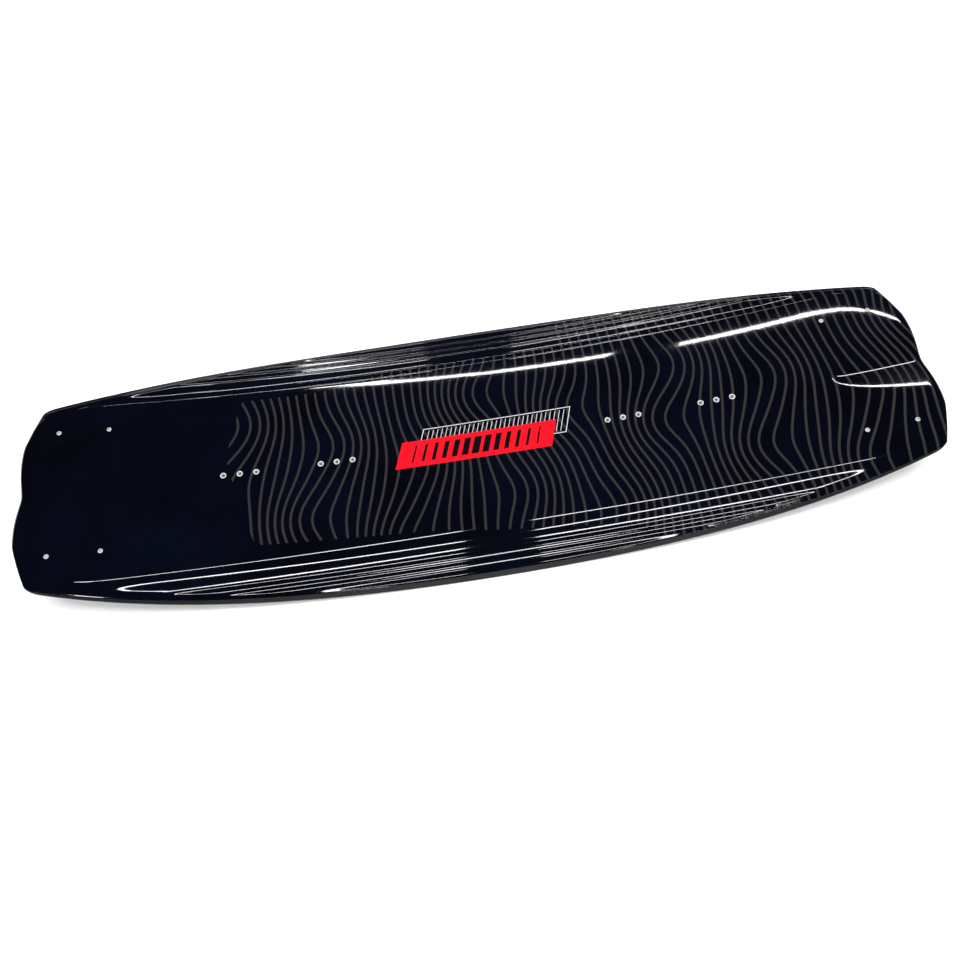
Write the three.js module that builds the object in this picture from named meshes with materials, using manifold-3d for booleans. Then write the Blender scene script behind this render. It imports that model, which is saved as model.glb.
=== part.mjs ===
// A twin-tip wakeboard, as the pieces that it is laminated and bolted from.
// Millimetres. X runs along the board, Y across it and Z up. The origin is under the middle of the base.
import * as THREE from "three";
import { mergeVertices } from "three/addons/utils/BufferGeometryUtils.js";
import Module from "manifold-3d";

const wasm = await Module();
wasm.setup();

// Plan outline
const HALF_LENGTH = 716; // to the two lobes of each tip
const HALF_WIDTH = 222.5; // at mid-length
const TAPER_LENGTH = 700; // over which the sides draw in
const TAPER_SQUARE = 0.192;
const TAPER_FOURTH = 0.143;
const CORNER_START = 670; // where the sides start to round into the tips
const CORNER_RUN = 20;
const CORNER_DRAW = 4;
// Half of a tip's outline, as [distance from the centreline, distance from mid-length].
const TIP_OUTLINE = [
  [0, 714],
  [35, HALF_LENGTH],
  [60, HALF_LENGTH - 0.5],
  [85, 713],
  [103, 707.5],
  [120, 702],
  [150, 690.5],
];

// Rocker: the base is flat under the middle and rises to both tips
const FLAT_HALF = 20;
const ROCKER_RISE = 66;
const ROCKER_POWER = 2;
// A shallow valley runs along the centreline into the notch of each tip.
const VALLEY_START = 565;
const VALLEY_DEPTH = 7;
const VALLEY_POWER = 0.7;
const VALLEY_HALF_WIDTH = 62;

// Thickness
const MIDDLE_THICKNESS = 22;
const TIP_THICKNESS = 16;
const THINNING_POWER = 1.5;
const EDGE_THICKNESS = 9; // of the whole stack, where the topsheet ends
const LIP_HEIGHT = 4.2; // top of the upright face along the board's edge
const GAP = 0.3; // between neighbouring pieces
const BASE_SHEET = 1.2;
const LAMINATE = 1;
const TOPSHEET = 0.8;
const UNDER_CORE = BASE_SHEET + GAP + LAMINATE + GAP;
const OVER_CORE = TOPSHEET + GAP + LAMINATE + GAP;
const RIM_WIDTH = 14; // of the sidewalls and tip spacers
const RIM_JOINT = 668; // where a sidewall meets a tip spacer, from mid-length

const BEYOND = 230; // farther out than the edge, for a line that its room alone places
// The deck's long lines, from the centreline to the edge: how far out a line runs, the least room that it
// leaves to the board's edge, and its height, from 0 at the topsheet's edge to 1 on the raised middle. Some
// lie lower at the tips, draw in there, or lose more of their room on the way there than the rest.
const DECK_LINES = [
  { out: 0, room: 0, height: 1 },
  { out: VALLEY_HALF_WIDTH, room: 0, height: 1 },
  { out: 118, room: 38, height: 1, drawIn: 45 },
  { out: 148, room: 31, height: 0.82, tipHeight: 0.62 },
  { out: 160, room: 27, height: 0.46, tipHeight: 0.43 },
  { out: 175, room: 18.5, height: 0.39 },
  { out: 204, room: 11, height: 0.08 },
  { out: BEYOND, room: 7, height: 0, loss: 0.75 },
];
const EDGE_LINE = { out: BEYOND, room: 0, height: 0, lip: true };
const BASE_LINES = [DECK_LINES[0], DECK_LINES[1], DECK_LINES[3], EDGE_LINE];
const ROOM_LOSS = 0.45; // share of that room lost on the way to the tips
const DRAW_START = 630; // where a line starts to draw in

// Lines across the board: stations at a fixed place, then lines that follow the tip at a distance from it
const STATIONS = [20, 84, 149, 213, 278, 345, 419, 494, 568, 632];
const TIP_LINES = [
  { back: 13, height: 1 },
  { back: 6, height: 0.7 },
  { back: 2, height: 0.2 },
];
const TIP_EDGE = { back: 0, height: 0.2, lip: true };

// Binding inserts: two groups of three for each foot
const INSERT_PITCH = 25.4;
const INSERT_GROUPS = [234.9, 387.3]; // middle of each group, from mid-length
const INSERT_RADIUS = 4.8;
const INSERT_BORE = 2.6;
const INSERT_LENGTH = 14;
const INSERT_BORE_DEPTH = 12;
const FLANGE_RADIUS = 7.5;
const FLANGE_THICKNESS = 1.6;
const INSERT_PROUD = 0.5;
const INSERT_SIDES = 12;

// Fins, each held by two screws from the deck
const FIN_X = 627;
const FIN_Y = 102.5;
const SCREW_SPACING = 73.8;
const FOOT_LENGTH = 98;
const FOOT_WIDTH = 20;
const FOOT_THICKNESS = 4;
const FIN_DEPTH = 27;
const BLADE_SET_IN = 6; // from the foot's ends
const BLADE_ROOT = 6;
const BLADE_TIP = 2.6;
const BOSS_RADIUS = 7.2;
const BOSS_TAPER = 0.8;
const BOSS_DEPTH = 11;
const NUT_RADIUS = 4.6;
const NUT_LENGTH = 8.8;
const SCREW_HEAD_RADIUS = 4.2;
const SCREW_HEAD_RIM = 1;
const SCREW_HEAD_DEPTH = 3;
const SCREW_RADIUS = 2.9;
const SCREW_END = -8.6;
const SCREW_PROUD = 0.7;
const SOCKET_RADIUS = 2;
const SOCKET_DEPTH = 2;
const SCREW_SIDES = 8;

// Dense blocks in the core
const BINDING_BLOCK = { length: 88, width: 40 };
const FIN_BLOCK = { length: 98, width: 32 };

const HOLE_SIDES = 8;
const HOLE_ABOVE = 5; // how far the cutter for a hole stands above its fastener
const HOLE_ROOM = 0.7; // between a fastener and the corners of its hole, which leaves GAP at the flats
const TALL = 200; // taller than the board, for cutters
const ENDS = [
  ["nose", 1],
  ["tail", -1],
];
const SIDES = [
  ["toe", 1],
  ["heel", -1],
];

const PAINTS = {
  topsheet: { color: 0x05070f, roughness: 0.08, metalness: 0 },
  laminate: { color: 0xb9b48c, roughness: 0.5, metalness: 0 },
  core: { color: 0xd9cfae, roughness: 0.9, metalness: 0 },
  block: { color: 0x8c6b45, roughness: 0.8, metalness: 0 },
  base: { color: 0x0b0c10, roughness: 0.25, metalness: 0 },
  sidewall: { color: 0x1b1c1c, roughness: 0.6, metalness: 0 },
  steel: { color: 0xc9cbcc, roughness: 0.25, metalness: 1 },
  brass: { color: 0xc4a04e, roughness: 0.35, metalness: 1 },
  fin: { color: 0x101114, roughness: 0.45, metalness: 0 },
};

// ---- The board's form

// A smooth curve through [place, value] points, whose places rise.
function curveThrough(points, place) {
  const last = points.length - 1;
  const slope = (i) => {
    const before = points[Math.max(i - 1, 0)];
    const after = points[Math.min(i + 1, last)];
    return (after[1] - before[1]) / (after[0] - before[0]);
  };
  let i = 0;
  while (i < last - 1 && place > points[i + 1][0]) {
    i += 1;
  }
  const [start, from] = points[i];
  const [end, to] = points[i + 1];
  const run = end - start;
  const s = (place - start) / run;
  const rise = s * s * (3 - 2 * s);
  const leave = s * (1 - s) * (1 - s) * run * slope(i);
  const arrive = s * s * (s - 1) * run * slope(i + 1);
  return from + (to - from) * rise + leave + arrive;
}

function tipReach(y) {
  return curveThrough(TIP_OUTLINE, Math.abs(y));
}

function halfWidth(x) {
  const square = (x / TAPER_LENGTH) ** 2;
  const corner = Math.max(0, (Math.abs(x) - CORNER_START) / CORNER_RUN) ** 3;
  return HALF_WIDTH * (1 - TAPER_SQUARE * square - TAPER_FOURTH * square * square) - CORNER_DRAW * corner;
}

function rocker(x) {
  const share = Math.max(0, Math.abs(x) - FLAT_HALF) / (HALF_LENGTH - FLAT_HALF);
  return ROCKER_RISE * share ** ROCKER_POWER;
}

function valley(x, y) {
  const along = Math.max(0, Math.abs(x) - VALLEY_START) / (HALF_LENGTH - VALLEY_START);
  const across = Math.max(0, 1 - Math.abs(y) / VALLEY_HALF_WIDTH);
  return VALLEY_DEPTH * along ** VALLEY_POWER * across;
}

function middleThickness(x) {
  const thinning = (Math.abs(x) / HALF_LENGTH) ** THINNING_POWER;
  return MIDDLE_THICKNESS - (MIDDLE_THICKNESS - TIP_THICKNESS) * thinning;
}

// Height of the underside of the base.
function underside(p) {
  return rocker(p.x) - valley(p.x, p.y);
}

// Height of the deck's surface.
function deck(p) {
  const thickness = EDGE_THICKNESS + (middleThickness(p.x) - EDGE_THICKNESS) * p.height;
  return underside(p) + thickness;
}

// The distance from the centreline of a long line where it passes x.
function lineOut(line, x) {
  const kept = 1 - (line.loss ?? ROOM_LOSS) * (x / HALF_LENGTH) ** 2;
  const drawn = (Math.max(0, x - DRAW_START) / (HALF_LENGTH - DRAW_START)) ** 2;
  const out = line.out - (line.drawIn ?? 0) * drawn;
  return Math.min(out, halfWidth(x) - line.room * kept - (line.gap ?? 0));
}

// The point where a line across the board meets a long line, for the quarter with both x and y positive.
function crossing(across, line) {
  let x = across.station ?? HALF_LENGTH - across.back;
  let y = lineOut(line, x);
  const rounds = across.station === undefined ? 12 : 0;
  for (let round = 0; round < rounds; round += 1) {
    x = tipReach(y) - across.back;
    y = lineOut(line, x);
  }
  const own = across.station === undefined ? (line.tipHeight ?? line.height) : line.height;
  return { x, y, height: own * (across.height ?? 1), lip: Boolean(across.lip || line.lip) };
}

// Rows of points over the whole board, mirrored from one quarter. Each row runs across the board.
function boardGrid(lines, tipLines) {
  const quarter = [...STATIONS.map((station) => ({ station })), ...tipLines];
  const mirrored = (items) => [
    ...items.toReversed().map((item) => [item, -1]),
    ...items.filter((item) => item.out !== 0).map((item) => [item, 1]),
  ];
  return mirrored(quarter).map(([across, end]) =>
    mirrored(lines).map(([line, side]) => {
      const p = crossing(across, line);
      return { ...p, x: p.x * end, y: p.y * side };
    }),
  );
}

// ---- Geometry

// A closed slab over a grid of points, between two height functions.
function slab(rows, low, high) {
  const across = rows[0].length;
  const level = rows.length * across;
  const positions = [];
  for (const height of [low, high]) {
    for (const p of rows.flat()) {
      positions.push(p.x, p.y, height(p));
    }
  }
  const indices = [];
  const quad = (a, b, c, d) => indices.push(a, b, c, a, c, d);
  for (let i = 0; i < rows.length - 1; i += 1) {
    for (let j = 0; j < across - 1; j += 1) {
      const a = i * across + j;
      const corners = [a, a + across, a + across + 1, a + 1];
      const [p, r] = [rows[i][j], rows[i + 1][j + 1]];
      if ((p.x + r.x) * (p.y + r.y) < 0) {
        corners.push(corners.shift()); // the two triangles mirror those of the neighbouring quarter
      }
      const [first, ...others] = corners;
      quad(...corners.map((k) => k + level));
      quad(first, ...others.toReversed());
    }
  }
  const lastRow = (rows.length - 1) * across;
  for (let i = 0; i < lastRow; i += across) {
    const j = i + across - 1;
    quad(i, i + across, i + across + level, i + level);
    quad(j + across, j, j + level, j + across + level);
  }
  for (let j = 0; j < across - 1; j += 1) {
    const k = lastRow + j;
    quad(j + 1, j, j + level, j + 1 + level);
    quad(k, k + 1, k + 1 + level, k + level);
  }
  const geometry = new THREE.BufferGeometry();
  geometry.setAttribute("position", new THREE.Float32BufferAttribute(positions, 3));
  geometry.setIndex(indices);
  return geometry;
}

// A turned piece: profile points are [radius, height], from the bottom of the axis to its top.
function turned(profile, sides) {
  const points = profile.map(([radius, height]) => new THREE.Vector2(radius, height));
  return new THREE.LatheGeometry(points, sides).rotateX(Math.PI / 2);
}

function toSolid(geometry) {
  const bare = geometry.clone();
  bare.deleteAttribute("normal");
  bare.deleteAttribute("uv");
  const merged = mergeVertices(bare, 1e-4);
  const mesh = new wasm.Mesh({
    numProp: 3,
    vertProperties: merged.attributes.position.array,
    triVerts: new Uint32Array(merged.index.array),
  });
  return new wasm.Manifold(mesh);
}

function toGeometry(solid) {
  const mesh = solid.getMesh();
  const geometry = new THREE.BufferGeometry();
  geometry.setAttribute("position", new THREE.BufferAttribute(mesh.vertProperties, 3));
  geometry.setIndex(new THREE.BufferAttribute(mesh.triVerts, 1));
  geometry.computeVertexNormals();
  return geometry;
}

function without(solid, cutters) {
  return cutters.reduce((left, cutter) => left.subtract(cutter), solid);
}

// A cutter made from a geometry in the frame of a group.
function cutterIn(group, geometry) {
  group.updateWorldMatrix(true, false);
  return toSolid(geometry.applyMatrix4(group.matrixWorld));
}

// ---- The pieces

const board = new THREE.Group();

function addPiece(name, paint, geometry, parent = board) {
  const mesh = new THREE.Mesh(geometry, new THREE.MeshStandardMaterial(PAINTS[paint]));
  mesh.name = name;
  parent.add(mesh);
  return mesh;
}

// One seat for each binding insert: a group whose origin is on the deck and whose Z is the deck's normal.
function insertSeats() {
  const seats = [];
  for (const [end, sign] of ENDS) {
    const places = INSERT_GROUPS.flatMap((middle) => [-1, 0, 1].map((n) => middle + n * INSERT_PITCH));
    places.forEach((place, n) => {
      const seat = new THREE.Group();
      const height = (x) => rocker(x) + middleThickness(x);
      const slope = height(place + 0.5) - height(place - 0.5);
      seat.position.set(sign * place, 0, height(place));
      seat.rotation.set(0, -sign * Math.atan(slope), 0);
      seat.name = `${end}_${n + 1}`;
      seats.push(seat);
    });
  }
  return seats;
}

// One seat for each fin: its origin is on the underside of the base, X runs to the tip and Z is the base's normal.
function finSeats() {
  const seats = [];
  const slope = rocker(FIN_X + 0.5) - rocker(FIN_X - 0.5);
  for (const [end, along] of ENDS) {
    for (const [side, across] of SIDES) {
      const seat = new THREE.Group();
      seat.position.set(along * FIN_X, across * FIN_Y, rocker(FIN_X));
      seat.rotation.set(0, -Math.atan(slope), along > 0 ? 0 : Math.PI, "ZYX");
      seat.name = `${end}_${side}`;
      seats.push(seat);
    }
  }
  return seats;
}

// The insert's profile, or with a clearance the hole that it is moulded into.
function insertProfile(clearance) {
  const flangeTop = FLANGE_THICKNESS - INSERT_LENGTH + INSERT_PROUD + clearance;
  const flangeBottom = INSERT_PROUD - INSERT_LENGTH - clearance;
  return [
    [0, flangeBottom],
    [FLANGE_RADIUS + clearance, flangeBottom],
    [FLANGE_RADIUS + clearance, flangeTop],
    [INSERT_RADIUS + clearance, flangeTop],
  ];
}

function insertGeometry() {
  const floor = INSERT_PROUD - INSERT_BORE_DEPTH;
  const profile = [
    ...insertProfile(0),
    [INSERT_RADIUS, INSERT_PROUD],
    [INSERT_BORE, INSERT_PROUD],
    [INSERT_BORE, floor],
    [0, floor],
  ];
  return turned(profile, INSERT_SIDES);
}

function insertHole() {
  const above = INSERT_PROUD + HOLE_ABOVE;
  const profile = [...insertProfile(HOLE_ROOM), [INSERT_RADIUS + HOLE_ROOM, above], [0, above]];
  return turned(profile, HOLE_SIDES);
}

// How high the head of a fin screw stands above the fin's seat, for a screw towards the tip (1) or the middle (-1).
function headHeight(seat, toward) {
  const x = FIN_X + (toward * SCREW_SPACING) / 2;
  return middleThickness(x) * Math.cos(seat.rotation.y) + SCREW_PROUD;
}

function screwProfile(top, clearance) {
  return [
    [0, SCREW_END],
    [SCREW_RADIUS + clearance, SCREW_END],
    [SCREW_RADIUS + clearance, top - SCREW_HEAD_DEPTH - clearance],
    [SCREW_HEAD_RADIUS + clearance, top - SCREW_HEAD_RIM - clearance],
  ];
}

function screwGeometry(top) {
  const profile = [
    ...screwProfile(top, 0),
    [SCREW_HEAD_RADIUS, top],
    [SOCKET_RADIUS, top],
    [SOCKET_RADIUS, top - SOCKET_DEPTH],
    [0, top - SOCKET_DEPTH],
  ];
  return turned(profile, SCREW_SIDES);
}

function screwHole(top) {
  const above = top + HOLE_ABOVE;
  const profile = [...screwProfile(top, HOLE_ROOM), [SCREW_HEAD_RADIUS + HOLE_ROOM, above], [0, above]];
  return turned(profile, HOLE_SIDES);
}

function nutGeometry() {
  const bore = SCREW_RADIUS + GAP + 0.1;
  const profile = [
    [bore, -GAP - NUT_LENGTH],
    [NUT_RADIUS, -GAP - NUT_LENGTH],
    [NUT_RADIUS, -GAP],
    [bore, -GAP],
    [bore, -GAP - NUT_LENGTH],
  ];
  return turned(profile, SCREW_SIDES);
}

function roundEndedPlate(length, width, thickness) {
  const radius = width / 2;
  const straight = length / 2 - radius;
  const shape = new THREE.Shape();
  shape.moveTo(-straight, -radius);
  shape.lineTo(straight, -radius);
  shape.absarc(straight, 0, radius, -Math.PI / 2, Math.PI / 2, false);
  shape.lineTo(-straight, radius);
  shape.absarc(-straight, 0, radius, Math.PI / 2, (Math.PI * 3) / 2, false);
  return new THREE.ExtrudeGeometry(shape, { depth: thickness, bevelEnabled: false, curveSegments: 4 });
}

// A long low blade, steeper at the end towards the board's tip, thinning away from its root.
function bladeGeometry() {
  const half = FOOT_LENGTH / 2 - BLADE_SET_IN;
  const shape = new THREE.Shape();
  shape.moveTo(-half, -FOOT_THICKNESS / 2);
  shape.bezierCurveTo(-half + 22, -FIN_DEPTH * 0.75, -6, -FIN_DEPTH, 14, -FIN_DEPTH);
  shape.bezierCurveTo(34, -FIN_DEPTH, half - 5, -FIN_DEPTH * 0.6, half, -FOOT_THICKNESS / 2);
  const options = { depth: BLADE_ROOT, bevelEnabled: false, curveSegments: 6 };
  const geometry = new THREE.ExtrudeGeometry(shape, options);
  geometry.translate(0, 0, -BLADE_ROOT / 2).rotateX(Math.PI / 2);
  const position = geometry.attributes.position;
  for (let k = 0; k < position.count; k += 1) {
    const depth = -position.getZ(k) / FIN_DEPTH;
    position.setY(k, position.getY(k) * (1 - depth * (1 - BLADE_TIP / BLADE_ROOT)));
  }
  return geometry;
}

function finGeometry() {
  const foot = toSolid(roundEndedPlate(FOOT_LENGTH, FOOT_WIDTH, FOOT_THICKNESS).translate(0, 0, -FOOT_THICKNESS));
  let fin = foot.add(toSolid(bladeGeometry()));
  for (const toward of [-1, 1]) {
    const along = (toward * SCREW_SPACING) / 2;
    const bossSize = [BOSS_RADIUS, BOSS_RADIUS * BOSS_TAPER, BOSS_DEPTH - 1, SCREW_SIDES];
    const boss = new THREE.CylinderGeometry(...bossSize).rotateX(Math.PI / 2);
    fin = fin.add(toSolid(boss.translate(along, 0, -(BOSS_DEPTH + 1) / 2)));
    const pocketDepth = NUT_LENGTH + 2 * GAP;
    const pocketRadius = NUT_RADIUS + GAP;
    const pocket = turned(
      [
        [0, -pocketDepth],
        [pocketRadius, -pocketDepth],
        [pocketRadius, 1],
        [0, 1],
      ],
      SCREW_SIDES,
    );
    fin = fin.subtract(toSolid(pocket.translate(along, 0, 0)));
  }
  return toGeometry(fin);
}

// Fasteners first: their holes go through the layers.
const bindingHoles = [];
for (const seat of insertSeats()) {
  board.add(seat);
  addPiece(`binding_insert_${seat.name}`, "steel", insertGeometry(), seat);
  bindingHoles.push(cutterIn(seat, insertHole()));
}
const finHoles = [];
for (const seat of finSeats()) {
  board.add(seat);
  addPiece(`fin_${seat.name}`, "fin", finGeometry(), seat);
  for (const [where, toward] of [
    ["inner", -1],
    ["outer", 1],
  ]) {
    const place = new THREE.Group();
    place.position.x = (toward * SCREW_SPACING) / 2;
    seat.add(place);
    const top = headHeight(seat, toward);
    addPiece(`fin_screw_${seat.name}_${where}`, "steel", screwGeometry(top), place);
    addPiece(`fin_nut_${seat.name}_${where}`, "brass", nutGeometry(), place);
    finHoles.push(cutterIn(place, screwHole(top)));
  }
}

// The skins
const deckRows = boardGrid(DECK_LINES, TIP_LINES);
const baseRows = boardGrid(BASE_LINES, [...TIP_LINES, TIP_EDGE]);
const topsheet = toSolid(slab(deckRows, (p) => deck(p) - TOPSHEET, deck));
addPiece("topsheet", "topsheet", toGeometry(without(topsheet, [...bindingHoles, ...finHoles])));
const topLaminate = toSolid(
  slab(
    deckRows,
    (p) => deck(p) - OVER_CORE + GAP,
    (p) => deck(p) - TOPSHEET - GAP,
  ),
);
addPiece("top_laminate", "laminate", toGeometry(without(topLaminate, [...bindingHoles, ...finHoles])));
const bottomLaminate = toSolid(
  slab(
    baseRows,
    (p) => underside(p) + BASE_SHEET + GAP,
    (p) => underside(p) + UNDER_CORE - GAP,
  ),
);
addPiece("bottom_laminate", "laminate", toGeometry(without(bottomLaminate, finHoles)));
const baseSheet = toSolid(slab(baseRows, underside, (p) => underside(p) + BASE_SHEET));
addPiece("base_sheet", "base", toGeometry(without(baseSheet, finHoles)));

// What is between the skins is one form, parted into the core, its blocks, the sidewalls and the tip spacers.
const middleForm = toSolid(
  slab(
    boardGrid([...DECK_LINES, EDGE_LINE], [...TIP_LINES, TIP_EDGE]),
    (p) => underside(p) + UNDER_CORE,
    (p) => (p.lip ? underside(p) + LIP_HEIGHT : deck(p) - OVER_CORE),
  ),
);

// An upright prism with the board's outline, drawn in by the rim's width and a gap.
function outlinePrism(gap) {
  const lines = [{ out: 0, room: 0 }, { out: BEYOND, room: RIM_WIDTH, gap }];
  const rows = boardGrid(lines, [{ back: RIM_WIDTH + gap }]);
  return toSolid(
    slab(
      rows,
      () => -TALL,
      () => TALL,
    ),
  );
}

function uprightBox(length, width, x, y) {
  return toSolid(new THREE.BoxGeometry(length, width, TALL).translate(x, y, 0));
}

let core = middleForm.intersect(outlinePrism(GAP));

function addBlock(name, size, x, y, holes) {
  const taken = uprightBox(size.length, size.width, x, y);
  addPiece(name, "block", toGeometry(without(core.intersect(taken), holes)));
  core = core.subtract(uprightBox(size.length + 2 * GAP, size.width + 2 * GAP, x, y));
}

for (const [end, sign] of ENDS) {
  INSERT_GROUPS.forEach((middle, n) => {
    addBlock(`binding_block_${end}_${n + 1}`, BINDING_BLOCK, sign * middle, 0, bindingHoles);
  });
  for (const [side, across] of SIDES) {
    addBlock(`fin_block_${end}_${side}`, FIN_BLOCK, sign * FIN_X, across * FIN_Y, finHoles);
  }
}
addPiece("core", "core", toGeometry(core));

const rim = middleForm.subtract(outlinePrism(0));
const cuts = ENDS.map(([, sign]) => uprightBox(GAP, TALL * 3, sign * RIM_JOINT, 0));
for (const part of without(rim, cuts).decompose()) {
  const { min, max } = part.boundingBox();
  const isSidewall = max[0] > 0 && min[0] < 0;
  if (isSidewall) {
    addPiece(`sidewall_${max[1] > HALF_WIDTH / 2 ? "toe" : "heel"}`, "sidewall", toGeometry(part));
  } else {
    addPiece(`tip_spacer_${max[0] > 0 ? "nose" : "tail"}`, "sidewall", toGeometry(part));
  }
}

export default board;
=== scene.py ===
"""Looks of a twin-tip wakeboard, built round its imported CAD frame.

The board's form is worked in millimetres, and scaled to metres where a mesh is made.
X runs along the board, Y across it and Z up. The toe side is +Y and the nose is +X.
"""

import math

import bpy
import numpy as np
from mathutils import Matrix, Vector


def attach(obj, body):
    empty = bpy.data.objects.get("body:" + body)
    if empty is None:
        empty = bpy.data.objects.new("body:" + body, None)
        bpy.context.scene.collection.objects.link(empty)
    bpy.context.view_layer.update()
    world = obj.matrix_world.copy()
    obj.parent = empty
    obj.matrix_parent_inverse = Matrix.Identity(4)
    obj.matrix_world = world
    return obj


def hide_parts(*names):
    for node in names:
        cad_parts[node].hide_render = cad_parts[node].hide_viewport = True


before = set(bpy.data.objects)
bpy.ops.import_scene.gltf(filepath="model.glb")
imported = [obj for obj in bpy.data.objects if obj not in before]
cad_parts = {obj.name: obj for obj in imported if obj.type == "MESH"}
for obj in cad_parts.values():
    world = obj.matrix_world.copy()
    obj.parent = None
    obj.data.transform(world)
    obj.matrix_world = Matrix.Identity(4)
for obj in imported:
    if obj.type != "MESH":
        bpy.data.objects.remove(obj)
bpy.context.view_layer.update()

MM = 0.001

# ---- The board's form, in millimetres

HALF_LENGTH = 716.0
HALF_WIDTH = 222.5
TAPER_LENGTH = 700.0
TAPER_SQUARE = 0.192
TAPER_FOURTH = 0.143
CORNER_START = 670.0
CORNER_RUN = 20.0
CORNER_DRAW = 4.0
TIP_PLACES = [0, 35, 60, 85, 103, 120, 150]
TIP_REACH = [714, 716, 715.5, 713, 707.5, 702, 690.5]
FLAT_HALF = 20.0
ROCKER_RISE = 66.0
MIDDLE_THICKNESS = 22.0
TIP_THICKNESS = 16.0
EDGE_THICKNESS = 9.0
LIP_HEIGHT = 4.2
GAP = 0.3
BASE_SHEET = 1.2
LAMINATE = 1.0
TOPSHEET = 0.8
RIM_WIDTH = 14.0
RIM_JOINT = 668.0
SKIN_ROOM = 7.0  # from the topsheet's edge to the board's edge, at mid-length
SKIN_BACK = 2.0  # the same at a tip
ROOM_LOSS = 0.45  # share of a line's room that it loses on the way to the tips
SKIN_LOSS = 0.75  # the same for the topsheet's edge
DRAW_START = 625.0  # where a line starts to draw in

# The valley that opens from a point on the centreline to the notch of each tip
VALLEY_START = 565.0
VALLEY_HALF_WIDTH = 62.0
VALLEY_DEPTH = 7.0
VALLEY_POWER = 0.7
# The same valley in the deck, which opens out along a curve
VALLEY_SPREAD = 64.0
VALLEY_OPENING = 0.5
VALLEY_SLOPE = 0.115
VALLEY_SOFTNESS = 0.26


def line(out, room, height, soft, draw_in=0.0, tip_height=None, loss=ROOM_LOSS):
    """A long line of the deck.

    out is its distance from the centreline, room its least distance from the edge, height its share of the
    raised middle's height, and soft the half-width of its crease. Towards a tip it draws in by draw_in, its
    height becomes tip_height, and its room shrinks by the share loss.
    """
    return {
        "out": out,
        "room": room,
        "height": height,
        "soft": soft,
        "draw_in": draw_in,
        "tip": height if tip_height is None else tip_height,
        "loss": loss,
    }


BEYOND = 230.0  # farther out than the edge, for a line that its room alone places
DECK_LINES = [
    line(0, 0, 1.0, 1),
    line(58, 0, 1.0, 1),
    line(116, 40, 1.0, 22, draw_in=75),
    line(148, 31, 0.82, 2.8, tip_height=0.62),
    line(160, 27, 0.53, 2.1, tip_height=0.47),
    line(176, 19.3, 0.405, 1.4),
    line(180, 17.3, 0.325, 1.4),
    line(188, 15.2, 0.295, 1.3),
    line(191.8, 13.4, 0.185, 1.3),
    line(200, 11.4, 0.155, 1.2),
    line(203.6, 9.8, 0.055, 1.2),
    line(BEYOND, SKIN_ROOM, 0.0, 0.5, loss=SKIN_LOSS),
]
# Lines across a tip: distance back from its edge, share of the height, crease half-width
TIP_LINES = [(13, 1.0, 4), (6, 0.7, 1.8), (SKIN_BACK, 0.2, 1.0)]

# Where the lines' own heights start to change to their heights at the tip, and where they have them
LAST_STATION = 568.0
FIRST_TIP_LINE = 703.0

INSERT_PITCH = 25.4
INSERT_GROUPS = [234.9, 387.3]
INSERT_HOLE = 5.0
FIN_X = 627.0
FIN_Y = 102.5
SCREW_SPACING = 73.8
SCREW_HOLE = 3.75
SCREW_PROUD = 0.7
ENDS = [("nose", 1), ("tail", -1)]
SIDES = [("toe", 1), ("heel", -1)]


def smoothstep(t):
    t = np.clip(t, 0, 1)
    return t * t * (3 - 2 * t)


def tip_reach(y):
    """How far from mid-length the tip's edge is, at a distance y from the centreline."""
    y = np.abs(np.asarray(y, float))
    at = np.array(TIP_PLACES, float)
    to = np.array(TIP_REACH, float)
    slope = np.empty_like(at)
    slope[1:-1] = (to[2:] - to[:-2]) / (at[2:] - at[:-2])
    slope[0] = 0
    slope[-1] = (to[-1] - to[-2]) / (at[-1] - at[-2])
    i = np.clip(np.searchsorted(at, y, side="right") - 1, 0, len(at) - 2)
    run = at[i + 1] - at[i]
    s = np.clip((y - at[i]) / run, 0, 1)
    rise = s * s * (3 - 2 * s)
    curve = to[i] + (to[i + 1] - to[i]) * rise
    curve += s * (1 - s) ** 2 * run * slope[i] + s * s * (s - 1) * run * slope[i + 1]
    return curve + slope[-1] * np.maximum(0, y - at[-1])


def half_width(x):
    square = (x / TAPER_LENGTH) ** 2
    corner = np.maximum(0, (np.abs(x) - CORNER_START) / CORNER_RUN) ** 3
    return HALF_WIDTH * (1 - TAPER_SQUARE * square - TAPER_FOURTH * square**2) - CORNER_DRAW * corner


def rocker(x):
    share = np.maximum(0, np.abs(x) - FLAT_HALF) / (HALF_LENGTH - FLAT_HALF)
    return ROCKER_RISE * share**2


def thickness(x):
    return MIDDLE_THICKNESS - (MIDDLE_THICKNESS - TIP_THICKNESS) * (np.abs(x) / HALF_LENGTH) ** 1.5


def ramp(d, soft):
    """0 before a crease and d after it, rounded over a half-width on each side."""
    near = np.clip(d + soft, 0, 2 * soft)
    return near**2 / (4 * soft) + np.maximum(0, d - soft)


def base_valley(x, y):
    along = np.maximum(0, np.abs(x) - VALLEY_START) / (HALF_LENGTH - VALLEY_START)
    return VALLEY_DEPTH * along**VALLEY_POWER * np.maximum(0, 1 - np.abs(y) / VALLEY_HALF_WIDTH)


def deck_valley(x, y):
    opening = np.maximum(1e-6, (np.abs(x) - VALLEY_START) / (HALF_LENGTH - VALLEY_START))
    width = VALLEY_SPREAD * opening**VALLEY_OPENING
    soft = VALLEY_SOFTNESS * width + 0.5
    centre = np.sqrt(y * y + 1.0)
    return VALLEY_SLOPE * ramp(width - centre, soft) * smoothstep(opening * 12)


def kept_room(x, loss=ROOM_LOSS):
    return 1 - loss * (x / HALF_LENGTH) ** 2


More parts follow.
